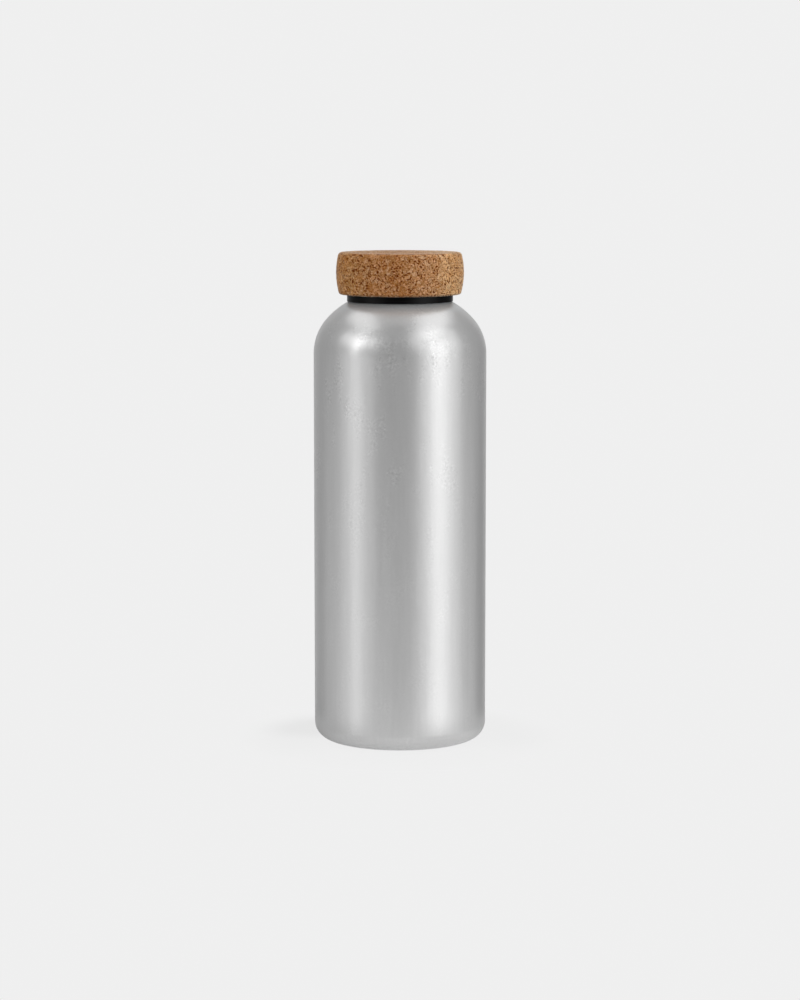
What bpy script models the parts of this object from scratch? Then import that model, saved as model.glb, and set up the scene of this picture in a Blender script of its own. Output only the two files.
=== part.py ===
"""Aluminium drinking bottle with a cork-covered screw lid, in metres, +Z up.

The origin is the centre of the base, on the surface that the bottle stands on. Every piece is turned
about the Z axis. The lid's pieces hang under two empties: lid_lift rises, and lid_turn turns on it.
"""

from math import asin, atan2, cos, degrees, hypot, pi, radians, sin, sqrt, tau

import bmesh
import bpy

# Bottle shell: one drawn aluminium wall
BODY_RADIUS = 0.0365
WALL = 0.0007
BASE_DOME_HEIGHT = 0.006
FOOT_BEND_RADIUS = 0.0025
FOOT_WIDTH = 0.0016
BASE_CORNER_RADIUS = 0.0072
STRAIGHT_SIDE_TOP = 0.1647
SHOULDER_LOWER_RADIUS = 0.022
SHOULDER_UPPER_RADIUS = 0.032
SHOULDER_CHANGE_DEGREES = 40.0

# Neck: a thread rolled into the wall, drawn in above it and curled outwards at the lip
NECK_RADIUS = 0.0196
NECK_HEIGHT = 0.0112
NECK_FILLET_RADIUS = 0.001
THREAD_LEAD = 0.005
THREAD_DEPTH = 0.001
LIP_BEND_RADIUS = 0.00025
LIP_STRAIGHT = 0.0003
LIP_CURL_DEGREES = 200.0

# Threaded cap: a moulded skirt, a top plate and the plug rib that holds the seal
SKIRT_WALL = 0.0014
SKIRT_CHAMFER = 0.00015
CAP_PLATE_THICKNESS = 0.0018
CAP_TOP_EDGE_RADIUS = 0.0009
PLUG_GAP = 0.0011
PLUG_WALL = 0.0014
PLUG_DEPTH = 0.0011
SEAL_CATCH = 0.00025

# Seal ring
SEAL_THICKNESS = 0.0018
SEAL_EDGE_RADIUS = 0.0002

# Cork cover
CORK_WALL = 0.00435
CORK_TOP_THICKNESS = 0.0034
CORK_SIDE_RADIUS = 0.033
CORK_TOP_EDGE_RADIUS = 0.0016
CORK_BOTTOM_EDGE_RADIUS = 0.0012
BAND_HEIGHT = 0.00295

# Clearances
CLEARANCE = 0.0003
THREAD_CLEARANCE = 0.00035
MERGE_DISTANCE = 0.000001

# Shares of the sizes that they follow
CORK_BELLY_SHARE = 0.52
THREAD_RAMP_SHARE = 0.2
DRAW_IN_EASE_SHARE = 1.1

# Facets
SEGMENTS = 48
ROWS_PER_LEAD = 8
DRAW_IN_ROWS = 5

# Straight side, base and shoulder, worked out
foot_bend_r = BODY_RADIUS - BASE_CORNER_RADIUS - FOOT_WIDTH
dome_radius = (
    foot_bend_r**2 + BASE_DOME_HEIGHT**2 - 2 * FOOT_BEND_RADIUS * BASE_DOME_HEIGHT
) / (2 * BASE_DOME_HEIGHT)
dome_centre_z = BASE_DOME_HEIGHT - dome_radius
change_angle = radians(SHOULDER_CHANGE_DEGREES)
lower_centre_r = BODY_RADIUS - SHOULDER_LOWER_RADIUS
radius_step = SHOULDER_LOWER_RADIUS - SHOULDER_UPPER_RADIUS
upper_centre_r = lower_centre_r + radius_step * cos(change_angle)
upper_centre_z = STRAIGHT_SIDE_TOP + radius_step * sin(change_angle)


def above_shoulder(radius, gap):
    """Height at this radius of the upper shoulder arc moved outwards by the gap."""
    return upper_centre_z + sqrt((SHOULDER_UPPER_RADIUS + gap) ** 2 - (radius - upper_centre_r) ** 2)


# Neck and lip, worked out
fillet_centre_r = NECK_RADIUS + NECK_FILLET_RADIUS
neck_bottom = above_shoulder(fillet_centre_r, NECK_FILLET_RADIUS)
shoulder_end_angle = atan2(neck_bottom - upper_centre_z, fillet_centre_r - upper_centre_r)
lip_top = neck_bottom + NECK_HEIGHT
lip_centre_z = lip_top - WALL - LIP_BEND_RADIUS
lip_neck_radius = NECK_RADIUS - WALL - 2 * LIP_BEND_RADIUS
mouth_radius = lip_neck_radius - WALL
draw_in = NECK_RADIUS - lip_neck_radius
draw_in_top = lip_centre_z - LIP_STRAIGHT
# The S bend is long enough for its bends to stay wider than the wall
draw_in_bottom = draw_in_top - DRAW_IN_EASE_SHARE * pi * sqrt(draw_in / 2 * WALL)
thread_bottom = neck_bottom + CLEARANCE
thread_top = draw_in_bottom

# Lid, worked out from the neck up
bore_radius = NECK_RADIUS + THREAD_DEPTH + THREAD_CLEARANCE
skirt_radius = bore_radius + SKIRT_WALL
skirt_bottom = above_shoulder(skirt_radius, CLEARANCE)
bore_bottom = above_shoulder(bore_radius, CLEARANCE)
seal_bottom = lip_top + CLEARANCE
seal_top = seal_bottom + SEAL_THICKNESS
plate_bottom = seal_top + CLEARANCE
cap_top = plate_bottom + CAP_PLATE_THICKNESS
plug_radius = mouth_radius - PLUG_GAP
plug_inner_radius = plug_radius - PLUG_WALL
plug_bottom = seal_bottom - CLEARANCE - PLUG_DEPTH
seal_inner_radius = plug_radius + CLEARANCE
seal_outer_radius = bore_radius - CLEARANCE
recess_radius = skirt_radius + CLEARANCE
recess_top = cap_top + CLEARANCE
cork_bottom = skirt_bottom + BAND_HEIGHT
cork_top = recess_top + CORK_TOP_THICKNESS
cork_radius = recess_radius + CORK_WALL
cork_centre_r = cork_radius - CORK_SIDE_RADIUS
cork_belly_z = cork_bottom + CORK_BELLY_SHARE * (cork_top - cork_bottom)


def clear_scene():
    for thing in list(bpy.data.objects):
        bpy.data.objects.remove(thing, do_unlink=True)


def arc(centre, radius, start, end, steps):
    """Points (r, z) along a circle, both ends included, with angles in degrees from the r axis."""
    points = []
    for step in range(steps + 1):
        angle = radians(start + (end - start) * step / steps)
        points.append((centre[0] + radius * cos(angle), centre[1] + radius * sin(angle)))
    return points


def thread_rows(radius, bottom, top):
    """Points up a wall that will carry thread, close enough together for its waves."""
    rows = max(2, round(ROWS_PER_LEAD * (top - bottom) / THREAD_LEAD))
    return [(radius, bottom + (top - bottom) * row / rows) for row in range(rows + 1)]


def shell_outline():
    """The shell's outer face, from the centre of the base to the end of the lip's curl."""
    bend_angle = degrees(atan2(FOOT_BEND_RADIUS - dome_centre_z, foot_bend_r))
    corner_r = BODY_RADIUS - BASE_CORNER_RADIUS
    end_angle = degrees(shoulder_end_angle)
    outline = arc((0, dome_centre_z), dome_radius, 90, bend_angle, 5)
    outline += arc((foot_bend_r, FOOT_BEND_RADIUS), FOOT_BEND_RADIUS, 180 + bend_angle, 270, 2)[1:]
    outline += arc((corner_r, BASE_CORNER_RADIUS), BASE_CORNER_RADIUS, -90, 0, 6)
    lower_centre = (lower_centre_r, STRAIGHT_SIDE_TOP)
    outline += arc(lower_centre, SHOULDER_LOWER_RADIUS, 0, SHOULDER_CHANGE_DEGREES, 5)
    upper_centre = (upper_centre_r, upper_centre_z)
    outline += arc(upper_centre, SHOULDER_UPPER_RADIUS, SHOULDER_CHANGE_DEGREES, end_angle, 4)[1:]
    fillet_centre = (fillet_centre_r, neck_bottom)
    outline += arc(fillet_centre, NECK_FILLET_RADIUS, 180 + end_angle, 180, 3)[1:]
    outline += thread_rows(NECK_RADIUS, thread_bottom, thread_top)
    for row in range(1, DRAW_IN_ROWS + 1):
        share = row / DRAW_IN_ROWS
        drop = draw_in * (1 - cos(pi * share)) / 2
        outline.append((NECK_RADIUS - drop, draw_in_bottom + (draw_in_top - draw_in_bottom) * share))
    curl_centre = (lip_neck_radius + LIP_BEND_RADIUS, lip_centre_z)
    outline += arc(curl_centre, LIP_BEND_RADIUS, 180, 180 - LIP_CURL_DEGREES, 8)
    return outline


def cap_outline():
    """The cap's whole section, from the top of its axis round to the underside of its plate."""
    edge = CAP_TOP_EDGE_RADIUS
    outline = [(0, cap_top)]
    outline += arc((skirt_radius - edge, cap_top - edge), edge, 90, 0, 3)
    chamfer_r = skirt_radius - SKIRT_CHAMFER
    outline += [
        (skirt_radius, skirt_bottom + SKIRT_CHAMFER),
        (chamfer_r, above_shoulder(chamfer_r, CLEARANCE)),
        (bore_radius, bore_bottom),
    ]
    outline += thread_rows(bore_radius, thread_bottom, thread_top)
    outline += [(bore_radius, plate_bottom), (plug_radius, plate_bottom)]
    catch_top = seal_bottom - CLEARANCE
    catch_r = seal_inner_radius + SEAL_CATCH
    outline += [
        (plug_radius, catch_top),
        (catch_r, catch_top - (catch_r - plug_radius)),
        (plug_radius, plug_bottom),
        (plug_inner_radius, plug_bottom),
        (plug_inner_radius, plate_bottom),
        (0, plate_bottom),
    ]
    return outline


def seal_outline():
    """The ring's closed section: a rectangle with small chamfers."""
    edge = SEAL_EDGE_RADIUS
    return [
        (seal_inner_radius, seal_bottom + edge),
        (seal_inner_radius + edge, seal_bottom),
        (seal_outer_radius - edge, seal_bottom),
        (seal_outer_radius, seal_bottom + edge),
        (seal_outer_radius, seal_top - edge),
        (seal_outer_radius - edge, seal_top),
        (seal_inner_radius + edge, seal_top),
        (seal_inner_radius, seal_top - edge),
    ]


def cork_corner(height, radius):
    """Centre r of an edge round that meets a flat face and the barrel side, and the angle where it ends."""
    reach = CORK_SIDE_RADIUS - radius
    rise = height - cork_belly_z
    return cork_centre_r + sqrt(reach**2 - rise**2), degrees(asin(rise / reach))


def cork_outline():
    """The cork's whole section, from the top of its recess round to the middle of its top face."""
    low, high = CORK_BOTTOM_EDGE_RADIUS, CORK_TOP_EDGE_RADIUS
    low_z, high_z = cork_bottom + low, cork_top - high
    low_r, low_angle = cork_corner(low_z, low)
    high_r, high_angle = cork_corner(high_z, high)
    mouth = [(recess_radius, cork_bottom + CLEARANCE), (recess_radius + CLEARANCE, cork_bottom)]
    outline = [(0, recess_top), (recess_radius, recess_top)] + mouth
    outline += arc((low_r, low_z), low, -90, low_angle, 4)
    outline += arc((cork_centre_r, cork_belly_z), CORK_SIDE_RADIUS, low_angle, high_angle, 8)[1:-1]
    outline += arc((high_r, high_z), high, high_angle, 90, 4)
    outline.append((0, cork_top))
    return outline


def turned(outline, closed=False):
    """The outline spun about Z. A closed outline makes a ring, an open one starts or ends on the axis."""
    shape = bmesh.new()
    points = [shape.verts.new((radius, 0, height)) for radius, height in outline]
    edges = [shape.edges.new(pair) for pair in zip(points, points[1:])]
    if closed:
        edges.append(shape.edges.new((points[-1], points[0])))
    bmesh.ops.spin(
        shape,
        geom=points + edges,
        cent=(0, 0, 0),
        axis=(0, 0, 1),
        angle=tau,
        steps=SEGMENTS,
        use_merge=True,
    )
    bmesh.ops.remove_doubles(shape, verts=shape.verts, dist=MERGE_DISTANCE)
    bmesh.ops.recalc_face_normals(shape, faces=shape.faces)
    if shape.calc_volume(signed=True) < 0:
        bmesh.ops.reverse_faces(shape, faces=shape.faces)
    return shape


def thread_fade(height):
    """1 along the thread, easing to 0 at both of its ends."""
    ramp = THREAD_RAMP_SHARE * (thread_top - thread_bottom)
    share = min(height - thread_bottom, thread_top - height) / ramp
    share = min(1, max(0, share))
    return share * share * (3 - 2 * share)


def thread_crest(angle, height):
    """1 on the neck's crest and 0 in its groove, rising anticlockwise by one lead a turn."""
    return (1 + cos(angle - tau * height / THREAD_LEAD)) / 2


def roll_thread(shape, wall_radius, outwards):
    """Moves the rows on a wall out to the crests of the neck, or in between them for the cap."""
    for point in shape.verts:
        radius = hypot(point.co.x, point.co.y)
        if abs(radius - wall_radius) > MERGE_DISTANCE:
            continue
        crest = thread_crest(atan2(point.co.y, point.co.x), point.co.z)
        rise = crest if outwards else crest - 1
        grown = (wall_radius + THREAD_DEPTH * thread_fade(point.co.z) * rise) / radius
        point.co.x *= grown
        point.co.y *= grown


def material(name, colour, roughness, metallic):
    finish = bpy.data.materials.new(name)
    finish.use_nodes = True
    shader = finish.node_tree.nodes["Principled BSDF"]
    shader.inputs["Base Color"].default_value = (*colour, 1)
    shader.inputs["Roughness"].default_value = roughness
    shader.inputs["Metallic"].default_value = metallic
    return finish


def placed(name, shape, height, parent, finish):
    """An object from the shape, with its origin on the axis at this height."""
    bmesh.ops.translate(shape, verts=shape.verts, vec=(0, 0, -height))
    mesh = bpy.data.meshes.new(name)
    shape.to_mesh(mesh)
    shape.free()
    mesh.shade_smooth()
    mesh.set_sharp_from_angle(angle=radians(35))
    mesh.materials.append(finish)
    piece = bpy.data.objects.new(name, mesh)
    bpy.context.scene.collection.objects.link(piece)
    piece.parent = parent
    piece.location = (0, 0, height - (parent.matrix_world.translation.z if parent else 0))
    return piece


def empty(name, height, parent=None):
    holder = bpy.data.objects.new(name, None)
    bpy.context.scene.collection.objects.link(holder)
    holder.parent = parent
    holder.location = (0, 0, height - (parent.matrix_world.translation.z if parent else 0))
    bpy.context.view_layer.update()
    return holder


def bottle_shell():
    shape = turned(shell_outline())
    roll_thread(shape, NECK_RADIUS, outwards=True)
    finish = material("blasted_aluminium", (0.62, 0.62, 0.62), 0.38, 1)
    shell = placed("bottle_shell", shape, 0, None, finish)
    wall = shell.modifiers.new("wall", "SOLIDIFY")
    wall.thickness = WALL
    wall.offset = -1
    wall.use_even_offset = True
    return shell


def threaded_cap(parent):
    shape = turned(cap_outline())
    roll_thread(shape, bore_radius, outwards=False)
    finish = material("black_plastic", (0.012, 0.011, 0.011), 0.42, 0)
    return placed("threaded_cap", shape, skirt_bottom, parent, finish)


def seal_ring(parent):
    finish = material("pale_silicone", (0.72, 0.71, 0.68), 0.5, 0)
    return placed("seal_ring", turned(seal_outline(), closed=True), seal_bottom, parent, finish)


def cork_cover(parent):
    finish = material("agglomerated_cork", (0.34, 0.165, 0.075), 0.85, 0)
    return placed("cork_cover", turned(cork_outline()), cork_bottom, parent, finish)


def main():
    clear_scene()
    bottle_shell()
    lid_lift = empty("lid_lift", seal_bottom)
    seal_ring(lid_lift)
    lid_turn = empty("lid_turn", seal_bottom, lid_lift)
    threaded_cap(lid_turn)
    cork_cover(lid_turn)


main()
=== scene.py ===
"""Looks of an aluminium bottle with a cork-covered screw lid.

Metres, +Z up, origin at the centre of the base. The fine surfaces repeat the solids' sizes, so every
piece fits the solid that it stands for.
"""

import bpy
import numpy as np
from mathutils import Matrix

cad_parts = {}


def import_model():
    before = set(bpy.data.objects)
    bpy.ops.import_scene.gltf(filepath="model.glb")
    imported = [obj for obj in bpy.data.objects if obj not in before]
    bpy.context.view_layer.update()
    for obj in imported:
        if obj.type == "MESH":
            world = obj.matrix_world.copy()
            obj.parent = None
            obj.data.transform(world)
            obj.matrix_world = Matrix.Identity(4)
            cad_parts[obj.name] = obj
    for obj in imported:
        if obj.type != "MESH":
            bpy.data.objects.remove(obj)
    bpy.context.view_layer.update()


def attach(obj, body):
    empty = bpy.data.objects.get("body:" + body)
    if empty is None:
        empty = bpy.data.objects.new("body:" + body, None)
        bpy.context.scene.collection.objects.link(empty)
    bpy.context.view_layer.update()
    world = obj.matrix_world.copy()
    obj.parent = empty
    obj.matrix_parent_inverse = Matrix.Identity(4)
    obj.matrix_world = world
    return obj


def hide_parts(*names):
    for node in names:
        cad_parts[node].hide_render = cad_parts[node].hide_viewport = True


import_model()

# Bottle shell
BODY_RADIUS = 0.0365
WALL = 0.0007
BASE_DOME_HEIGHT = 0.006
FOOT_BEND_RADIUS = 0.0025
FOOT_WIDTH = 0.0016
BASE_CORNER_RADIUS = 0.0072
STRAIGHT_SIDE_TOP = 0.1647
SHOULDER_LOWER_RADIUS = 0.022
SHOULDER_UPPER_RADIUS = 0.032
SHOULDER_CHANGE = np.radians(40)

# Neck and lip
NECK_RADIUS = 0.0196
NECK_HEIGHT = 0.0112
NECK_FILLET_RADIUS = 0.001
THREAD_LEAD = 0.005
THREAD_DEPTH = 0.001
THREAD_RAMP_SHARE = 0.2
DRAW_IN_EASE_SHARE = 1.1
LIP_BEND_RADIUS = 0.00025
LIP_STRAIGHT = 0.0003
LIP_CURL = np.radians(200)

# Threaded cap and seal ring
SKIRT_WALL = 0.0014
SKIRT_CHAMFER = 0.00015
CAP_PLATE_THICKNESS = 0.0018
CAP_TOP_EDGE_RADIUS = 0.0009
PLUG_GAP = 0.0011
PLUG_WALL = 0.0014
PLUG_DEPTH = 0.0011
SEAL_CATCH = 0.00025
SEAL_THICKNESS = 0.0018
SEAL_EDGE_RADIUS = 0.0002

# Cork cover
CORK_WALL = 0.00435
CORK_TOP_THICKNESS = 0.0034
CORK_SIDE_RADIUS = 0.033
CORK_TOP_EDGE_RADIUS = 0.0016
CORK_BOTTOM_EDGE_RADIUS = 0.0012
CORK_BELLY_SHARE = 0.52
BAND_HEIGHT = 0.00295

CLEARANCE = 0.0003
THREAD_CLEARANCE = 0.00035

# Meshes. Places closer together than TOUCHING count as one
SHELL_COLUMNS = 224
CAP_COLUMNS = 192
SEAL_COLUMNS = 160
CORK_COLUMNS = 600
SHARP_ANGLE = np.radians(40)
TOUCHING = 1e-7

# Metal. The marks of handling grow denser over one stretch of heights and thin out over another, and
# the band under the lid, painted lighter and cooler as painted light against the shade and the cork's
# warm reflection there, is given by its heights above the skirt's lower edge
METAL_TONE = 0.62
METAL_SHARE = 0.50
METAL_ROUGHNESS = 0.30
LACQUER_TINT = (0.80, 0.70, 0.52)
PATCH_SIZE = 0.0075
PATCH_STRETCH = (1, 1, 2.2)
PATCH_TURN = (-1.42, 2.35, -2.7)
DENT_SIZE = 0.0010
SPECK_SPACING = 0.0020
SWELL_SIZE = 0.004
STREAK_SIZE = 0.0016
STREAK_STRETCH = (1, 1, 14)
METAL_GRAIN_SIZE = 0.0003
METAL_RELIEF = 0.00012
HANDLED_RISE = (0.05, 0.16)
HANDLED_FALL = (0.165, 0.178)
UNDER_LID_PAINTED_TINT = (0.955, 0.985, 1.0)
UNDER_LID_PAINTED_RISE = (-0.0050, -0.0008)
UNDER_LID_PAINTED_FALL = (0.0, 0.0010)

# Plastic and silicone
PLASTIC_TONES = ((0.0022, 0.0021, 0.0021), (0.0034, 0.0033, 0.0033))
PLASTIC_SKIN_SIZE = 0.00018
PLASTIC_RELIEF = 0.000006
FLOW_SIZE = 0.006
FLOW_STRETCH = (1, 1, 0.3)
SILICONE_TONES = ((0.68, 0.67, 0.64), (0.75, 0.74, 0.71))
SILICONE_CLOUD_SIZE = 0.004
SILICONE_SKIN_SIZE = 0.0003
SILICONE_RELIEF = 0.00001

# Cork, from its darkest granules to its palest. The painted shade on the rim is given by its heights above
# the lower edge
CORK_TONES = (
    (0.0, (0.150, 0.032, 0.001)),
    (0.32, (0.330, 0.126, 0.030)),
    (0.62, (0.470, 0.226, 0.092)),
    (1.0, (0.800, 0.510, 0.300)),
)
CORK_GAP_TONE = (0.125, 0.022, 0.0)
CORK_SHEEN_TINT = (1.0, 0.90, 0.78)
WARM_GRANULE_TINT = (1.05, 0.97, 0.88)
COOL_GRANULE_TINT = (0.96, 1.01, 1.05)
YELLOW_SIDE_TINT = (1.0, 1.03, 0.93)
RIM_SHADE_TINT = (0.62, 0.70, 0.85)
RIM_SHADE_FADE = (0.0001, 0.0013)
PAINTED_LIGHT_SIDE_REACH = (-0.001, 0.024)
BIG_GRANULE = 0.0016
SMALL_GRANULE = 0.0008
RAGGED_SIZE = 0.0006
RAGGED_SHIFT = 0.0011
OPEN_GAP_SIZE = 0.0008
FLECK_SIZE = 0.00038
FLECK_STRETCH = (2.0, 2.0, 1)
FLECK_SHIFT_SIZE = 0.004
FLECK_SHIFT = 0.004
CORK_FINE_SIZE = 0.00033
CORK_PATCH_SIZE = 0.007
CORK_WAVE_SIZE = 0.008
CORK_BUMP = 0.00004
DARK_DEPTH = 0.00011
SEAM_DEPTH = 0.00006
SANDED_DEPTH = 0.00004
WAVE_DEPTH = 0.00006

# Camera, fitted to the photograph's outline
CAMERA_PLACE = (0, -1.20438, 0.25195)
CAMERA_PITCH = np.radians(7.09)
CAMERA_LENS = 102.675

# Studio. Each reach on the table is the two distances between which its share fades out
PALE = 0.866
WORLD_LEVEL = 0.12
LAMP_DISTANCE = 1.3
LAMP_CENTRE_HEIGHT = 0.1
TABLE_RADIUS = 0.075
TABLE_GAP = 0.0001
TABLE_POINTS = 96
TABLE_COLOUR = 0.90
# Painted light and shade: the table is paler in front and darker at the sides
TABLE_SHADED_SIDE_COLOUR = 0.50
TABLE_FRONT_PLACE = (0.005, -0.065, 0.0)
TABLE_FRONT_REACH = (0.042, 0.080)
SHADOW_SHARE = 0.045
SHADOW_REACH = (0.62 * TABLE_RADIUS, 0.98 * TABLE_RADIUS)
# Glow thinned at fixed places: the real shadow shows, plus painted shadow where the lit table is darker
LEFT_SHADOW_SHARE = 0.085
LEFT_SHADOW_PLACE = (-0.040, 0.020, 0.0)
LEFT_SHADOW_REACH = (0.008, 0.030)
# Reflections see a brighter glow at a fixed place in front: a painted reflection on the bottle's foot
MIRRORED_BRIGHT = 0.884
MIRRORED_DIM = 0.26
MIRRORED_BRIGHT_PLACE = (0.016, -0.050, 0.0)
MIRRORED_BRIGHT_REACH = (0.015, 0.075)
BACKDROP_HALF_WIDTH = 0.9
BACKDROP_DISTANCE = 1.6
BACKDROP_BOTTOM = -0.5
BACKDROP_TOP = 1.6
BACKDROP_MIRRORED = 0.12


# Profiles

def arc(centre, radius, start, end, count):
    """Points (r, z) along a circle from one angle to the other, in degrees from the r axis."""
    turn = np.radians(np.linspace(start, end, count))
    return np.stack([centre[0] + radius * np.cos(turn), centre[1] + radius * np.sin(turn)], axis=1)


def straight(start, end, count):
    """Evenly spaced points (r, z) from one point to the other."""
    return np.linspace(start, end, count)


def joined(*runs):
    """The runs one after another, without points that repeat the one before."""
    line = np.concatenate([np.atleast_2d(run) for run in runs])
    moves = np.hypot(*np.diff(line, axis=0).T)
    return line[np.concatenate([[True], moves > TOUCHING])]


foot_bend_r = BODY_RADIUS - BASE_CORNER_RADIUS - FOOT_WIDTH
dome_radius = (foot_bend_r**2 + BASE_DOME_HEIGHT**2 - 2 * FOOT_BEND_RADIUS * BASE_DOME_HEIGHT) / (
    2 * BASE_DOME_HEIGHT
)
dome_centre_z = BASE_DOME_HEIGHT - dome_radius
lower_centre_r = BODY_RADIUS - SHOULDER_LOWER_RADIUS
radius_step = SHOULDER_LOWER_RADIUS - SHOULDER_UPPER_RADIUS
upper_centre_r = lower_centre_r + radius_step * np.cos(SHOULDER_CHANGE)
upper_centre_z = STRAIGHT_SIDE_TOP + radius_step * np.sin(SHOULDER_CHANGE)


def above_shoulder(radius, gap):
    """Height at this radius of the upper shoulder arc moved outwards by the gap."""
    reach = SHOULDER_UPPER_RADIUS + gap
    return upper_centre_z + np.sqrt(reach**2 - (radius - upper_centre_r) ** 2)


fillet_centre_r = NECK_RADIUS + NECK_FILLET_RADIUS
neck_bottom = above_shoulder(fillet_centre_r, NECK_FILLET_RADIUS)
shoulder_end = np.degrees(np.arctan2(neck_bottom - upper_centre_z, fillet_centre_r - upper_centre_r))
lip_top = neck_bottom + NECK_HEIGHT
lip_centre_z = lip_top - WALL - LIP_BEND_RADIUS
lip_neck_radius = NECK_RADIUS - WALL - 2 * LIP_BEND_RADIUS
mouth_radius = lip_neck_radius - WALL
draw_in = NECK_RADIUS - lip_neck_radius
draw_in_top = lip_centre_z - LIP_STRAIGHT
draw_in_bottom = draw_in_top - DRAW_IN_EASE_SHARE * np.pi * np.sqrt(draw_in / 2 * WALL)
thread_bottom = neck_bottom + CLEARANCE
thread_top = draw_in_bottom

bore_radius = NECK_RADIUS + THREAD_DEPTH + THREAD_CLEARANCE
skirt_radius = bore_radius + SKIRT_WALL
skirt_bottom = above_shoulder(skirt_radius, CLEARANCE)
seal_bottom = lip_top + CLEARANCE
seal_top = seal_bottom + SEAL_THICKNESS
plate_bottom = seal_top + CLEARANCE
cap_top = plate_bottom + CAP_PLATE_THICKNESS
plug_radius = mouth_radius - PLUG_GAP
plug_inner_radius = plug_radius - PLUG_WALL
plug_bottom = seal_bottom - CLEARANCE - PLUG_DEPTH
seal_inner_radius = plug_radius + CLEARANCE
seal_outer_radius = bore_radius - CLEARANCE
recess_radius = skirt_radius + CLEARANCE
recess_top = cap_top + CLEARANCE
cork_bottom = skirt_bottom + BAND_HEIGHT
cork_top = recess_top + CORK_TOP_THICKNESS
cork_radius = recess_radius + CORK_WALL
cork_centre_r = cork_radius - CORK_SIDE_RADIUS
cork_belly_z = cork_bottom + CORK_BELLY_SHARE * (cork_top - cork_bottom)


def shell_profile():
    """The shell's outer face from the centre of the base to the end of the lip's curl.

    Dome, foot, base corner, straight side, two shoulder arcs, fillet, neck, a collar that draws in by
    half a cosine wave, and the lip's bend.
    """
    bend = np.degrees(np.arctan2(FOOT_BEND_RADIUS - dome_centre_z, foot_bend_r))
    change = np.degrees(SHOULDER_CHANGE)
    corner_r = BODY_RADIUS - BASE_CORNER_RADIUS
    lip_centre_r = lip_neck_radius + LIP_BEND_RADIUS
    rise = np.linspace(0, 1, 12)
    drawn_r = NECK_RADIUS - draw_in * (1 - np.cos(np.pi * rise)) / 2
    drawn_z = draw_in_bottom + (draw_in_top - draw_in_bottom) * rise
    return joined(
        arc((0, dome_centre_z), dome_radius, 90, bend, 16),
        arc((foot_bend_r, FOOT_BEND_RADIUS), FOOT_BEND_RADIUS, 180 + bend, 270, 9),
        arc((corner_r, BASE_CORNER_RADIUS), BASE_CORNER_RADIUS, -90, 0, 22),
        straight((BODY_RADIUS, BASE_CORNER_RADIUS), (BODY_RADIUS, STRAIGHT_SIDE_TOP), 24),
        arc((lower_centre_r, STRAIGHT_SIDE_TOP), SHOULDER_LOWER_RADIUS, 0, change, 24),
        arc((upper_centre_r, upper_centre_z), SHOULDER_UPPER_RADIUS, change, shoulder_end, 20),
        arc((fillet_centre_r, neck_bottom), NECK_FILLET_RADIUS, 180 + shoulder_end, 180, 7),
        straight((NECK_RADIUS, thread_bottom), (NECK_RADIUS, thread_top), 46),
        np.stack([drawn_r, drawn_z], axis=1),
        arc((lip_centre_r, lip_centre_z), LIP_BEND_RADIUS, 180, 180 - np.degrees(LIP_CURL), 18),
    )


def cap_profile():
    """The cap's whole section from the top of its axis round to the underside of its plate."""
    edge = CAP_TOP_EDGE_RADIUS
    chamfer_r = skirt_radius - SKIRT_CHAMFER
    catch_top = seal_bottom - CLEARANCE
    catch_r = seal_inner_radius + SEAL_CATCH
    return joined(
        straight((0, cap_top), (skirt_radius - edge, cap_top), 8),
        arc((skirt_radius - edge, cap_top - edge), edge, 90, 0, 9),
        straight((skirt_radius, cap_top - edge), (skirt_radius, skirt_bottom + SKIRT_CHAMFER), 14),
        (chamfer_r, above_shoulder(chamfer_r, CLEARANCE)),
        (bore_radius, above_shoulder(bore_radius, CLEARANCE)),
        straight((bore_radius, thread_bottom), (bore_radius, thread_top), 46),
        straight((bore_radius, plate_bottom), (plug_radius, plate_bottom), 4),
        (plug_radius, catch_top),
        (catch_r, catch_top - (catch_r - plug_radius)),
        (plug_radius, plug_bottom),
        (plug_inner_radius, plug_bottom),
        straight((plug_inner_radius, plate_bottom), (0, plate_bottom), 6),
    )


def seal_profile():
    """The ring's closed section: a flat rectangle with small rounded edges."""
    edge = SEAL_EDGE_RADIUS
    low, high = seal_bottom + edge, seal_top - edge
    near, far = seal_inner_radius + edge, seal_outer_radius - edge
    return joined(
        arc((near, low), edge, 180, 270, 5),
        straight((near, seal_bottom), (far, seal_bottom), 8),
        arc((far, low), edge, 270, 360, 5),
        arc((far, high), edge, 0, 90, 5),
        straight((far, seal_top), (near, seal_top), 8),
        arc((near, high), edge, 90, 180, 5),
    )


def cork_corner(height, radius):
    """Centre r of an edge round that meets a flat face and the barrel side, and the angle where it ends."""
    reach = CORK_SIDE_RADIUS - radius
    rise = height - cork_belly_z
    return cork_centre_r + np.sqrt(reach**2 - rise**2), np.degrees(np.arcsin(rise / reach))


def cork_profile():
    """The cork's section from the top of its recess round to the middle of its top face."""
    low, high = CORK_BOTTOM_EDGE_RADIUS, CORK_TOP_EDGE_RADIUS
    low_z, high_z = cork_bottom + low, cork_top - high
    low_r, low_angle = cork_corner(low_z, low)
    high_r, high_angle = cork_corner(high_z, high)
    return joined(
        straight((0, recess_top), (recess_radius, recess_top), 4),
        straight((recess_radius, recess_top), (recess_radius, cork_bottom + CLEARANCE), 6),
        straight((recess_radius + CLEARANCE, cork_bottom), (low_r, cork_bottom), 10),
        arc((low_r, low_z), low, -90, low_angle, 8),
        arc((cork_centre_r, cork_belly_z), CORK_SIDE_RADIUS, low_angle, high_angle, 62),
        arc((high_r, high_z), high, high_angle, 90, 9),
        straight((high_r, cork_top), (0, cork_top), 52),
    )


# Surfaces

def turned(profile, columns):
    """Grid of points, one row for each profile point, carried round the Z axis in even steps."""
    turn = np.arange(columns) * (2 * np.pi / columns)
    radius, height = profile[:, :1], profile[:, 1:]
    return np.stack([radius * np.cos(turn), radius * np.sin(turn), height + 0 * turn], axis=2)


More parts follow.
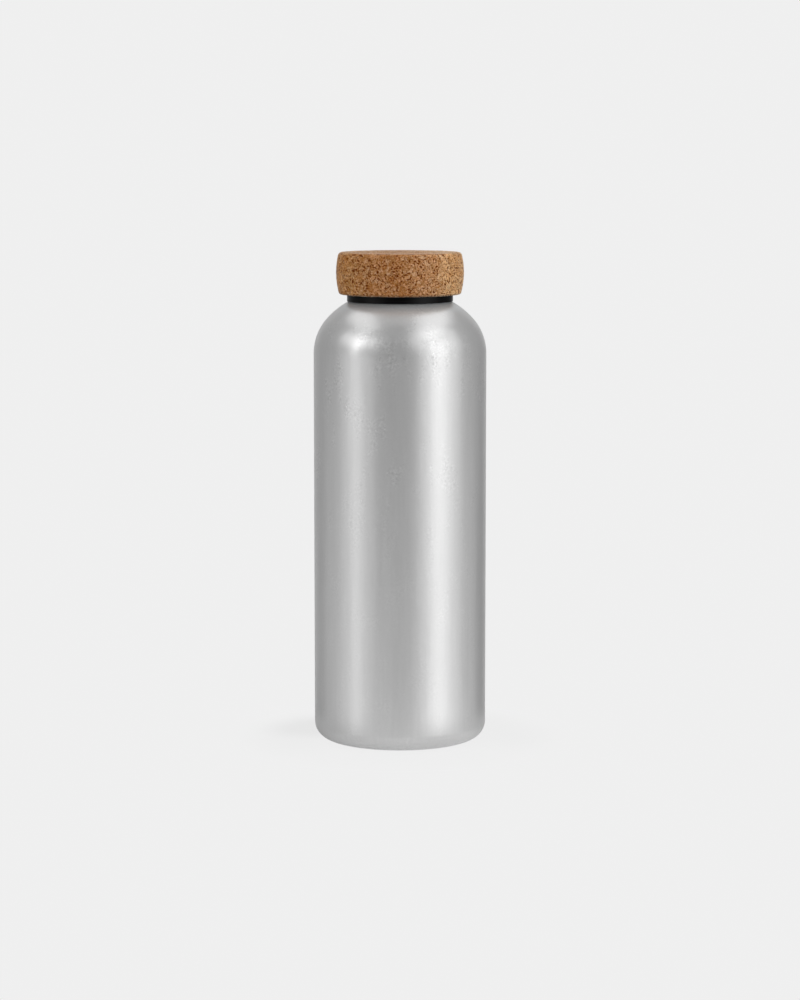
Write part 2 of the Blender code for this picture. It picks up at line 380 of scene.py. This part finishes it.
def grid_normals(points):
    """Outward unit normals: the cross product of the steps along the columns and up the rows."""
    along = np.roll(points, -1, axis=1) - np.roll(points, 1, axis=1)
    normal = np.cross(along, np.gradient(points, axis=0))
    # On the axis the step along the columns vanishes, so the next row's mean direction is taken
    for row, inner in ((0, 1), (-1, -2)):
        if np.abs(along[row]).max() < TOUCHING:
            normal[row] = normal[inner].mean(axis=0)
    return normal / np.linalg.norm(normal, axis=2, keepdims=True)


def surface(name, points, closed=False):
    """A mesh object from a grid whose columns join up, and which of the grid's points it uses.

    Four neighbours make a face. In a closed grid the last row joins the first. In any other the first
    and last rows lie on the axis, each as one point with a fan of triangles round it.
    """
    rows, columns = points.shape[:2]
    index = np.arange(rows * columns).reshape(rows, columns)
    following = np.roll(index, -1, axis=1)
    quads = np.stack([index[:-1], following[:-1], following[1:], index[1:]], axis=2)
    if closed:
        ring = np.stack([index[-1], following[-1], following[0], index[0]], axis=1)
        faces = [quads.reshape(-1, 4), ring]
    else:
        faces = [
            quads[1:-1].reshape(-1, 4),
            np.stack([0 * index[0], following[1], index[1]], axis=1),
            np.stack([index[-2], following[-2], 0 * index[0] + index[-1, 0]], axis=1),
        ]
    sizes = np.concatenate([np.full(len(part), part.shape[1]) for part in faces])
    used, corners = np.unique(np.concatenate([part.ravel() for part in faces]), return_inverse=True)
    mesh = bpy.data.meshes.new(name)
    mesh.vertices.add(len(used))
    mesh.vertices.foreach_set("co", points.reshape(-1, 3)[used].astype(np.float32).ravel())
    mesh.loops.add(len(corners))
    mesh.loops.foreach_set("vertex_index", corners.astype(np.int32))
    mesh.polygons.add(len(sizes))
    mesh.polygons.foreach_set("loop_start", (np.cumsum(sizes) - sizes).astype(np.int32))
    mesh.polygons.foreach_set("loop_total", sizes.astype(np.int32))
    mesh.update(calc_edges=True)
    mesh.validate()
    mesh.shade_smooth()
    mesh.set_sharp_from_angle(angle=SHARP_ANGLE)
    piece = bpy.data.objects.new(name, mesh)
    bpy.context.scene.collection.objects.link(piece)
    return piece, used


def mark(piece, name, values):
    """Keeps one number for each point of the mesh, for its finish to read."""
    piece.data.attributes.new(name, "FLOAT", "POINT").data.foreach_set("value", values.astype(np.float32))


def from_axis(points):
    """Distance of each point from the Z axis."""
    return np.hypot(points[..., 0], points[..., 1])


def thread_shares(points):
    """Two shares for each point: nearness to the thread's crest, and how far the thread has run in.

    The first is a cosine of the angle that climbs one lead a turn. The second grows with the distance
    from the nearer end of the thread and is eased by a smooth step.
    """
    angle = np.arctan2(points[..., 1], points[..., 0])
    height = points[..., 2]
    crest = (1 + np.cos(angle - 2 * np.pi * height / THREAD_LEAD)) / 2
    ramp = THREAD_RAMP_SHARE * (thread_top - thread_bottom)
    share = np.clip(np.minimum(height - thread_bottom, thread_top - height) / ramp, 0, 1)
    return crest, share * share * (3 - 2 * share)


def threaded(points, radius, resting_share):
    """The points with the thread formed in the wall that lies at this radius.

    They move away from the axis by the thread's depth times the crest's share less the resting share:
    0 for a thread that stands out from a neck, and 1 for one that stands into a bore.
    """
    crest, run_in = thread_shares(points)
    on_wall = np.abs(from_axis(points) - radius) < TOUCHING
    growth = THREAD_DEPTH * run_in * (crest - resting_share) * on_wall
    factor = 1 + growth / np.maximum(from_axis(points), TOUCHING)
    return points * np.stack([factor, factor, 1 + 0 * factor], axis=-1)


# Shading

class Value:
    """A number that varies over a surface. Arithmetic on it adds Math nodes.

    The sign | takes the larger of two values, and & the smaller.
    """

    def __init__(self, finish, socket):
        self.finish = finish
        self.socket = socket

    def math(self, operation, *numbers):
        """A Math node on these numbers or values."""
        return self.finish.node("ShaderNodeMath", {"operation": operation}, dict(enumerate(numbers)))

    def __add__(self, other):
        return self.math("ADD", self, other)

    __radd__ = __add__

    def __sub__(self, other):
        return self.math("SUBTRACT", self, other)

    def __rsub__(self, other):
        return self.math("SUBTRACT", other, self)

    def __mul__(self, other):
        return self.math("MULTIPLY", self, other)

    __rmul__ = __mul__

    def __or__(self, other):
        return self.math("MAXIMUM", self, other)

    __ror__ = __or__

    def __and__(self, other):
        return self.math("MINIMUM", self, other)

    __rand__ = __and__

    def centred(self):
        """A value between 0 and 1, moved to lie round 0."""
        return self - 0.5

    def eased(self, low, high):
        """0 below the first number and 1 above the second, with a smooth step between them."""
        return self.finish.node(
            "ShaderNodeMapRange",
            {"interpolation_type": "SMOOTHSTEP"},
            {"Value": self, "From Min": low, "From Max": high},
        )


class Finish:
    """Nodes of one material, of the world or of a relief."""

    def __init__(self, tree):
        self.tree = tree

    def node(self, kind, settings=None, inputs=None, output=0):
        """Adds a node: its settings first, then the values or links of its sockets."""
        added = self.tree.nodes.new(kind)
        for key, setting in (settings or {}).items():
            if key == "stops":
                ramp = added.color_ramp
                for place, colour in setting[len(ramp.elements):]:
                    ramp.elements.new(place)
                for element, (place, colour) in zip(ramp.elements, setting):
                    element.position = place
                    element.color = (*colour, 1)
            else:
                setattr(added, key, setting)
        for key, value in (inputs or {}).items():
            self.feed(added.inputs[key], value)
        return Value(self, added.outputs[output]) if added.outputs else None

    def feed(self, socket, value):
        """Links a value to a socket, or sets the socket to a number, a vector or a colour."""
        if isinstance(value, Value):
            self.tree.links.new(value.socket, socket)
        elif socket.type == "RGBA":
            socket.default_value = (*value, 1)
        else:
            socket.default_value = value

    def place(self):
        """Where the point is on the object, in metres."""
        return self.node("ShaderNodeTexCoord", output="Object")

    def part(self, vector, axis):
        """One of a vector's or a colour's three numbers."""
        return self.node("ShaderNodeSeparateXYZ", None, {0: vector}, output=axis)

    def ray(self, kind):
        """1 for rays of this kind, such as those that leave the camera, and 0 for all others."""
        return self.node("ShaderNodeLightPath", output=f"Is {kind} Ray")

    def vector(self, operation, first, second, output=0):
        """Vector Math on two vectors, or on a vector and the number that scales it."""
        second_input = "Scale" if operation == "SCALE" else 1
        inputs = {0: first, second_input: second}
        return self.node("ShaderNodeVectorMath", {"operation": operation}, inputs, output)

    def stretched(self, vector, turn=(0, 0, 0), scale=(1, 1, 1)):
        """The pattern's own axes: turned, then drawn out along each of them."""
        inputs = {"Vector": vector, "Rotation": turn}
        turned_about = self.node("ShaderNodeVectorRotate", {"rotation_type": "EULER_XYZ"}, inputs)
        return self.vector("DIVIDE", turned_about, scale)

    def noise(self, vector, size, detail=2.0, roughness=0.5, output=0):
        """Soft noise between 0 and 1 whose blobs are about this size."""
        return self.node(
            "ShaderNodeTexNoise",
            {"noise_dimensions": "3D"},
            {"Vector": vector, "Scale": 1 / size, "Detail": detail, "Roughness": roughness},
            output,
        )

    def cells(self, vector, size, feature="F1", output="Distance"):
        """Cells of about this size: the distance to the middle or the edge, or each cell's own colour."""
        return self.node(
            "ShaderNodeTexVoronoi",
            {"voronoi_dimensions": "3D", "feature": feature},
            {"Vector": vector, "Scale": 1 / size, "Randomness": 1.0},
            output,
        )

    def mixed(self, share, first, second, blend="MIX"):
        """Two colours blended by a share, which is a number or varies."""
        settings = {"data_type": "RGBA", "blend_type": blend}
        return self.node("ShaderNodeMix", settings, {0: share, 6: first, 7: second}, output=2)

    def moved(self, vector, shift, amount):
        """The place shifted by a noise colour, up to half of the amount each way."""
        centred = self.vector("SUBTRACT", shift, (0.5, 0.5, 0.5))
        return self.vector("ADD", vector, self.vector("SCALE", centred, amount))

    def grey(self, value):
        """A value as a grey colour."""
        return self.node("ShaderNodeCombineColor", {"mode": "RGB"}, {0: value, 1: value, 2: value})

    def bump(self, height, depth):
        """The surface's normal tilted by a relief between 0 and 1 that is this deep."""
        return self.node("ShaderNodeBump", None, {"Height": height, "Distance": depth, "Strength": 1.0})


def material(name, constants):
    """A new material, its nodes and its main shader, whose constants are set on its own sockets."""
    made = bpy.data.materials.new(name)
    made.use_nodes = True
    shader = made.node_tree.nodes["Principled BSDF"]
    finish = Finish(made.node_tree)
    for socket, value in constants.items():
        finish.feed(shader.inputs[socket], value)
    return made, finish, shader


def blasted_aluminium():
    """Satin metal: fine grain, faint drawing streaks up the wall, and patches of small dents and specks."""
    made, finish, shader = material("blasted_aluminium", {"Metallic": METAL_SHARE})
    place = finish.place()
    height = finish.part(place, 2)
    above_skirt = height - skirt_bottom
    inside = finish.node("ShaderNodeAttribute", {"attribute_name": "inside"}, output="Fac")
    handled = height.eased(*HANDLED_RISE) * 0.80 - height.eased(*HANDLED_FALL) * 0.35 + 0.22
    # Painted light: the band under the lid is made lighter and cooler against its shade and the cork's
    # reflection
    under_lid_painted_light = above_skirt.eased(*UNDER_LID_PAINTED_RISE) - above_skirt.eased(*UNDER_LID_PAINTED_FALL)

    turned_place = finish.stretched(place, turn=PATCH_TURN)
    tall_place = finish.stretched(finish.stretched(place, scale=PATCH_STRETCH), turn=PATCH_TURN)
    drawn_place = finish.stretched(place, scale=STREAK_STRETCH)
    patches = finish.noise(tall_place, PATCH_SIZE, detail=3, roughness=0.65)
    worn = patches.eased(0.48, 0.70) * handled
    dents = finish.noise(turned_place, DENT_SIZE, detail=2, roughness=0.6)
    swells = finish.noise(place, SWELL_SIZE, detail=1)
    streaks = finish.noise(drawn_place, STREAK_SIZE, detail=1, roughness=0.6)
    grain = finish.noise(place, METAL_GRAIN_SIZE, detail=1)
    kept = finish.cells(place, SPECK_SPACING, output="Color")
    spot = 1 - finish.cells(place, SPECK_SPACING).eased(0.08, 0.22)
    light_specks = spot * finish.part(kept, 0).eased(0.80, 0.86) * worn
    dark_specks = spot * finish.part(kept, 1).eased(0.95, 0.98) * worn

    tone = dents.centred() * (worn * 0.85 + 0.06) + streaks.centred() * 0.07 + patches.centred() * 0.05
    tone = tone + light_specks * 0.40 - dark_specks * 0.15 + under_lid_painted_light * 0.15 + 1
    bare = finish.mixed(under_lid_painted_light, finish.grey(tone * METAL_TONE), UNDER_LID_PAINTED_TINT, "MULTIPLY")
    finish.feed(shader.inputs["Base Color"], finish.mixed(inside, bare, LACQUER_TINT, "MULTIPLY"))
    rough = grain.centred() * 0.010 + swells.centred() * 0.02 + streaks.centred() * 0.012
    finish.feed(shader.inputs["Roughness"], rough + METAL_ROUGHNESS)
    relief = dents.centred() * (worn * 0.95 + 0.08) + swells * 0.35 + streaks * 0.10
    finish.feed(shader.inputs["Normal"], finish.bump(relief, METAL_RELIEF))
    return made


def black_plastic():
    """Moulded black plastic with a fine spark-eroded skin."""
    made, finish, shader = material("black_plastic", {"Specular IOR Level": 0.09})
    place = finish.place()
    skin = finish.noise(place, PLASTIC_SKIN_SIZE, detail=2)
    flow = finish.noise(finish.stretched(place, scale=FLOW_STRETCH), FLOW_SIZE, detail=2)
    finish.feed(shader.inputs["Base Color"], finish.mixed(flow, *PLASTIC_TONES))
    finish.feed(shader.inputs["Roughness"], flow.centred() * 0.12 + skin.centred() * 0.08 + 0.30)
    finish.feed(shader.inputs["Normal"], finish.bump(skin, PLASTIC_RELIEF))
    return made


def pale_silicone():
    """Soft ring, slightly cloudy, with the matt skin of its mould."""
    made, finish, shader = material("pale_silicone", {})
    place = finish.place()
    cloud = finish.noise(place, SILICONE_CLOUD_SIZE, detail=2)
    skin = finish.noise(place, SILICONE_SKIN_SIZE, detail=1)
    finish.feed(shader.inputs["Base Color"], finish.mixed(cloud, *SILICONE_TONES))
    finish.feed(shader.inputs["Roughness"], cloud.centred() * 0.15 + skin.centred() * 0.1 + 0.5)
    finish.feed(shader.inputs["Normal"], finish.bump(skin, SILICONE_RELIEF))
    return made


def granules(finish, place, size):
    """Cells of one size: each granule's own colour, and the distance to its edge in millimetres."""
    edge = finish.cells(place, size, "DISTANCE_TO_EDGE") * (size * 1000)
    return finish.cells(place, size, output="Color"), edge


def cork_grain(finish, place):
    """Pressed cork granules: each one's tone and hue, the gaps and dark bark flecks, and the seams.

    Big granules lie among small ones. Both are cells whose edges are made ragged by noise.
    """
    tatter = finish.noise(place, RAGGED_SIZE, detail=3, roughness=0.65, output="Color")
    ragged = finish.moved(place, tatter, RAGGED_SHIFT)
    big, big_edge = granules(finish, ragged, BIG_GRANULE)
    small, small_edge = granules(finish, ragged, SMALL_GRANULE)
    whole = finish.part(big, 1).eased(0.45, 0.47)
    tone = finish.part(small, 0) * (1 - whole) + finish.part(big, 0) * whole
    hue = finish.part(small, 2) * (1 - whole) + finish.part(big, 2) * whole
    # Inside a big granule the small ones' edges are pushed out of reach
    edge = big_edge & (small_edge + whole * 10)
    open_gaps = finish.noise(place, OPEN_GAP_SIZE, detail=1).eased(0.51, 0.62)
    cracks = (1 - edge.eased(0.10, 0.34)) * open_gaps
    seams = 1 - edge.eased(0.0, 0.20)
    shift = finish.noise(place, FLECK_SHIFT_SIZE, output="Color")
    scattered = finish.stretched(finish.moved(place, shift, FLECK_SHIFT), scale=FLECK_STRETCH)
    bark = finish.noise(scattered, FLECK_SIZE, detail=1).eased(0.60, 0.70)
    return tone, hue, cracks | bark, seams


def agglomerated_cork():
    """Ground cork, pressed and sanded: tan granules, dark gaps and flecks, dull and slightly fuzzy."""
    made, finish, shader = material(
        "agglomerated_cork",
        {
            "Sheen Weight": 0.8,
            "Sheen Roughness": 0.26,
            "Sheen Tint": CORK_SHEEN_TINT,
            "Specular IOR Level": 0.02,
        },
    )
    place = finish.place()
    tone, hue, dark, seams = cork_grain(finish, place)
    fine = finish.noise(place, CORK_FINE_SIZE, detail=1, roughness=0.6)
    patches = finish.noise(place, CORK_PATCH_SIZE, detail=1)
    across = finish.part(place, 0)
    # Painted light: the +X side is painted paler, as if lit more strongly from that side
    painted_light_side = across.eased(*PAINTED_LIGHT_SIDE_REACH)
    # Both sides alike, by the square of the distance across, in square millimetres
    yellow_sides = (across * across * 1e6).eased(80, 480)
    # Painted shade: darker and greyer along the lower edge and on the underside, dimming its reflection too
    rim = 1 - (finish.part(place, 2) - cork_bottom).eased(*RIM_SHADE_FADE)
    level = tone.centred() * 0.32 + fine.centred() * 1.4 + patches.centred() * 0.12
    level = level + painted_light_side * 0.22 - seams * 0.04 + 0.58
    colour = finish.node("ShaderNodeValToRGB", {"stops": CORK_TONES}, {"Fac": level})
    tint = finish.mixed(hue.eased(0.2, 0.8), WARM_GRANULE_TINT, COOL_GRANULE_TINT)
    colour = finish.mixed(0.7, colour, tint, "MULTIPLY")
    colour = finish.mixed(yellow_sides, colour, YELLOW_SIDE_TINT, "MULTIPLY")
    colour = finish.mixed(dark, colour, CORK_GAP_TONE)
    colour = finish.mixed(rim, colour, RIM_SHADE_TINT, "MULTIPLY")
    finish.feed(shader.inputs["Base Color"], colour)
    finish.feed(shader.inputs["Roughness"], dark * 0.1 + fine.centred() * 0.1 + 0.82)
    relief = fine * 0.25 + tone * 0.2 - seams * 0.25 - dark * 0.8
    finish.feed(shader.inputs["Normal"], finish.bump(relief, CORK_BUMP))
    return made


# Pieces

def finished(piece, body, node, coat):
    """Gives a piece its material and the body it rides on, and hides the node that it stands for."""
    piece.data.materials.append(coat)
    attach(piece, body)
    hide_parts(node)


def bottle_shell():
    """Turned outer face with the thread rolled into it, and the inner face one wall further in."""
    outer = threaded(turned(shell_profile(), SHELL_COLUMNS), NECK_RADIUS, resting_share=0)
    inner = outer - WALL * grid_normals(outer)
    inner[0, :, :2] = 0
    piece, used = surface("shell", np.concatenate([outer, inner[::-1]]))
    inside = np.concatenate([np.zeros(outer.shape[:2]), np.ones(inner.shape[:2])])
    mark(piece, "inside", inside.ravel()[used])
    finished(piece, "bottle", "bottle_shell", blasted_aluminium())


def threaded_cap():
    """Turned cap whose bore has the neck's thread as a mirror image, one clearance away."""
    grid = threaded(turned(cap_profile(), CAP_COLUMNS), bore_radius, resting_share=1)
    piece, _ = surface("cap", grid[::-1])
    finished(piece, "lid", "threaded_cap", black_plastic())


def seal_ring():
    """Turned ring whose section closes on itself."""
    piece, _ = surface("seal", turned(seal_profile(), SEAL_COLUMNS), closed=True)
    finished(piece, "seal", "seal_ring", pale_silicone())


def pressed_in(piece, depth_of):
    """Moves the points inwards by a depth that comes from the same pattern as the finish."""
    tree = bpy.data.node_groups.new("relief", "GeometryNodeTree")
    for end in ("INPUT", "OUTPUT"):
        tree.interface.new_socket("Geometry", in_out=end, socket_type="NodeSocketGeometry")
    finish = Finish(tree)
    depth = depth_of(finish, finish.node("GeometryNodeInputPosition"))
    exposed = finish.node("GeometryNodeInputNamedAttribute", {"data_type": "FLOAT"}, {"Name": "exposed"})
    inwards = finish.vector("SCALE", finish.node("GeometryNodeInputNormal"), depth * exposed * -1)
    smooth = finish.node("NodeGroupInput")
    pressed = finish.node("GeometryNodeSetPosition", None, {"Geometry": smooth, "Offset": inwards})
    finish.node("NodeGroupOutput", None, {0: pressed})
    relief = piece.modifiers.new("relief", "NODES")
    relief.node_group = tree
    shaped = piece.evaluated_get(bpy.context.evaluated_depsgraph_get()).data
    points = np.empty(len(shaped.vertices) * 3, np.float32)
    shaped.vertices.foreach_get("co", points)
    piece.modifiers.remove(relief)
    bpy.data.node_groups.remove(tree)
    piece.data.vertices.foreach_set("co", points)
    piece.data.update()


def cork_depth(finish, place):
    """Gaps and bark specks lie deepest, softer granules are sanded a little lower than hard ones."""
    tone, _, dark, seams = cork_grain(finish, place)
    waves = finish.noise(place, CORK_WAVE_SIZE, detail=1)
    return dark * DARK_DEPTH + seams * SEAM_DEPTH + (1 - tone) * SANDED_DEPTH + waves * WAVE_DEPTH


def cork_cover():
    """Turned barrel with a blind recess, its outer faces pressed in along the cork's own grain."""
    grid = turned(cork_profile(), CORK_COLUMNS)
    piece, used = surface("cork", grid)
    in_recess = from_axis(grid) < recess_radius + 2 * CLEARANCE
    covered = in_recess & (grid[..., 2] < recess_top + CLEARANCE)
    mark(piece, "exposed", 1.0 - covered.ravel()[used])
    pressed_in(piece, cork_depth)
    finished(piece, "lid", "cork_cover", agglomerated_cork())


# Studio

def even_glow(finish, lit, shown, mirrored):
    """The lit shader with an even pale glow mixed in: one share for the camera, one for reflections."""
    reflected = finish.ray("Glossy") | finish.ray("Transmission")
    share = finish.ray("Camera") * shown + reflected * mirrored
    glow = finish.node("ShaderNodeEmission", None, {"Color": (PALE, PALE, PALE), "Strength": 1.0})
    return finish.node("ShaderNodeMixShader", None, {0: share, 1: lit, 2: glow})


def sheet(name, outline, paint):
    """A pale flat sheet of the studio. Its paint gives its colour and its two shares of the even glow."""
    made = bpy.data.materials.new(name)
    made.use_nodes = True
    nodes = made.node_tree.nodes
    nodes.remove(nodes["Principled BSDF"])
    finish = Finish(made.node_tree)
    colour, shown, mirrored = paint(finish)
    lit = finish.node("ShaderNodeBsdfDiffuse", None, {"Color": colour})
    finish.feed(nodes["Material Output"].inputs["Surface"], even_glow(finish, lit, shown, mirrored))
    mesh = bpy.data.meshes.new(name)
    mesh.from_pydata(outline.tolist(), [], [range(len(outline))])
    mesh.materials.append(made)
    laid = bpy.data.objects.new(name, mesh)
    bpy.context.scene.collection.objects.link(laid)


def away_from(finish, centre, reach):
    """0 near a place on the table and 1 far from it, with a smooth step between two distances."""
    return finish.vector("DISTANCE", finish.place(), centre, output="Value").eased(*reach)


def table_paint(finish):
    """Paler in front and darker at the sides, as painted light and shade. The bottle's shadow shows most on
    the left, partly painted shadow where the glow thins at a fixed place, and a rim melts away. Reflections
    see a brighter glow at a fixed place in front, a painted reflection on the foot.
    """
    painted_shade_aside = away_from(finish, TABLE_FRONT_PLACE, TABLE_FRONT_REACH)
    inner = 1 - away_from(finish, (0, 0, 0), SHADOW_REACH)
    # Partly painted shadow: the glow thins at a fixed place on the left
    left = 1 - away_from(finish, LEFT_SHADOW_PLACE, LEFT_SHADOW_REACH)
    # Painted reflection: a brighter glow for reflections at a fixed place in front
    dim = away_from(finish, MIRRORED_BRIGHT_PLACE, MIRRORED_BRIGHT_REACH)
    colour = finish.grey(TABLE_COLOUR - painted_shade_aside * (TABLE_COLOUR - TABLE_SHADED_SIDE_COLOUR))
    shown = 1 - inner * (left * LEFT_SHADOW_SHARE + SHADOW_SHARE)
    return colour, shown, MIRRORED_BRIGHT - dim * (MIRRORED_BRIGHT - MIRRORED_DIM)


def table():
    """A small round table just under the foot."""
    turn = np.linspace(0, 2 * np.pi, TABLE_POINTS, endpoint=False)
    rim = [TABLE_RADIUS * np.cos(turn), TABLE_RADIUS * np.sin(turn), 0 * turn - TABLE_GAP]
    sheet("table", np.stack(rim, axis=1), table_paint)


def backdrop():
    """An even pale sheet that stands behind the bottle."""
    corners = (
        (-BACKDROP_HALF_WIDTH, BACKDROP_DISTANCE, BACKDROP_BOTTOM),
        (BACKDROP_HALF_WIDTH, BACKDROP_DISTANCE, BACKDROP_BOTTOM),
        (BACKDROP_HALF_WIDTH, BACKDROP_DISTANCE, BACKDROP_TOP),
        (-BACKDROP_HALF_WIDTH, BACKDROP_DISTANCE, BACKDROP_TOP),
    )
    sheet("backdrop", np.array(corners), lambda finish: ((TABLE_COLOUR,) * 3, 1.0, BACKDROP_MIRRORED))


def soft_box(name, bearing, half_width, low, high, radiance, distance=LAMP_DISTANCE):
    """An area lamp that faces the middle of the bottle.

    The bearing is counted from the camera's side, positive to the right, and half_width, low and high
    say how far the lamp reaches as seen from the bottle, all in degrees.
    """
    turn, rise = np.radians(bearing), np.radians((low + high) / 2)
    lamp = bpy.data.lights.new(name, "AREA")
    lamp.shape = "RECTANGLE"
    lamp.size = 2 * distance * np.tan(np.radians(half_width))
    lamp.size_y = 2 * distance * np.tan(np.radians((high - low) / 2))
    lamp.energy = radiance * np.pi * lamp.size * lamp.size_y
    holder = bpy.data.objects.new(name, lamp)
    bpy.context.scene.collection.objects.link(holder)
    holder.location = (
        distance * np.sin(turn) * np.cos(rise),
        -distance * np.cos(turn) * np.cos(rise),
        LAMP_CENTRE_HEIGHT + distance * np.sin(rise),
    )
    holder.rotation_euler = (np.pi / 2 - rise, 0, turn)
    holder.visible_camera = False


def world():
    """Surroundings that are pale to the camera and dim on the object."""
    made = bpy.data.worlds.new("studio")
    bpy.context.scene.world = made
    made.use_nodes = True
    finish = Finish(made.node_tree)
    background = made.node_tree.nodes["Background"]
    finish.feed(background.inputs["Color"], (1, 1, 1))
    level = finish.ray("Camera") * (PALE - WORLD_LEVEL) + WORLD_LEVEL
    finish.feed(background.inputs["Strength"], level)


def camera():
    """The camera in front of the bottle, looking slightly down."""
    data = bpy.data.cameras.new("camera")
    data.lens = CAMERA_LENS
    holder = bpy.data.objects.new("camera", data)
    bpy.context.scene.collection.objects.link(holder)
    holder.location = CAMERA_PLACE
    holder.rotation_euler = (np.pi / 2 - CAMERA_PITCH, 0, 0)
    bpy.context.scene.camera = holder


def studio():
    """Table, backdrop, surroundings and the soft boxes round the bottle."""
    table()
    backdrop()
    world()
    soft_box("left_core", -60, 9, -26, 2, 0.48)
    soft_box("left_line", -60, 5, -26, 8, 0.29)
    soft_box("left_spot", -62, 3, 18, 26, 6.50)
    soft_box("left_tail", -62, 3, 4, 18, 2.60)
    soft_box("left_up", -62, 5, 25, 38, 3.00)
    soft_box("left_low", -60, 28, -50, 2, 0.73)
    soft_box("left_high", -60, 28, 2, 52, 0.47)
    soft_box("left_crown", -64, 26, 24, 42, 0.93)
    soft_box("right_core", 52, 8, -26, 2, 0.42)
    soft_box("right_wide", 54, 16, -26, 6, 0.65)
    soft_box("right_spot", 53, 8, 0, 16, 1.05)
    soft_box("right_up", 54, 12, 14, 34, 1.23)
    soft_box("right_low", 56, 32, -27, 4, 0.90)
    soft_box("right_high", 56, 32, 4, 52, 1.16)
    soft_box("rear_left_low", -104, 16, -50, -4, 0.41)
    soft_box("rear_left_high", -104, 16, -4, 52, 0.12)
    soft_box("rear_right_low", 104, 16, -50, -4, 0.36)
    soft_box("rear_right_high", 104, 16, -4, 52, 0.04)
    soft_box("front_low", 0, 24, -26, -8, 0.50)
    soft_box("front_left_low", -24, 9, -26, -10, 0.30)
    soft_box("upper_left", -100, 26, 50, 72, 1.30)
    soft_box("upper_right", 104, 40, 50, 78, 1.36)
    soft_box("upper_front", 60, 22, 50, 64, 0.19)
    soft_box("top", 0, 14, 76, 104, 0.36)
    soft_box("behind_top", 180, 40, 50, 84, 0.16)
    soft_box("back_left", -140, 16, -50, 52, 0.16, distance=1.5)


bottle_shell()
threaded_cap()
seal_ring()
cork_cover()
studio()
camera()
bpy.context.scene.view_settings.view_transform = "Standard"
